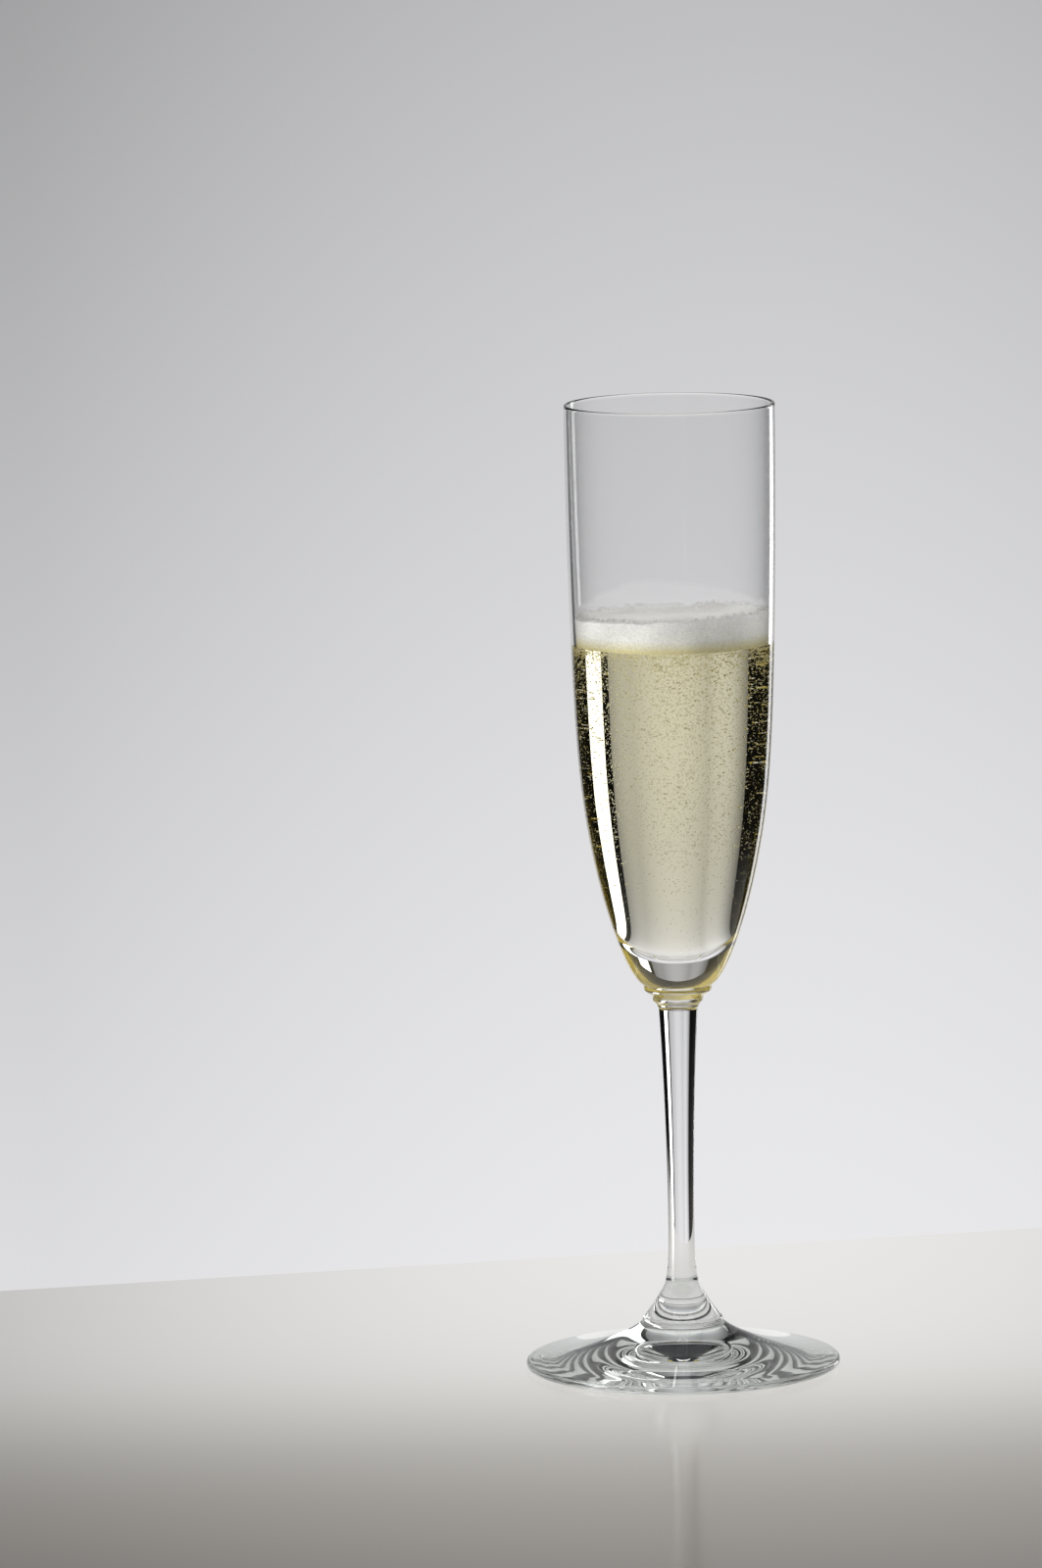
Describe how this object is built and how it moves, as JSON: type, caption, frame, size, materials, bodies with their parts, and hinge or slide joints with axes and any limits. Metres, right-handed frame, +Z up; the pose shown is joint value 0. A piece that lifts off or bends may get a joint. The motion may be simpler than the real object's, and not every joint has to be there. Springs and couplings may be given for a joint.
{
  "type": "champagne flute",
  "caption": "Tall stemmed glass with a narrow bowl, ringed collar, slim stem, flared button and round foot, two thirds full of pale sparkling wine under a head of foam.",
  "frame": {"origin": "on the table, under the middle of the foot", "axes": "+Z up along the stem, through the middle of the bowl; the glass is round, so +X and +Y may point anywhere"},
  "size_m": [0.0732, 0.0732, 0.225],
  "materials": {
    "bowl_glass": "polished",
    "stem_glass": "polished",
    "foot_glass": "polished",
    "champagne": "gloss",
    "foam": "satin"
  },
  "bodies": {
    "root": {"foot": "foot_glass", "foot_button": "stem_glass", "stem": "stem_glass", "bowl_collar": "stem_glass", "bowl": "bowl_glass", "champagne": "champagne", "foam": "foam"}
  },
  "joints": []
}
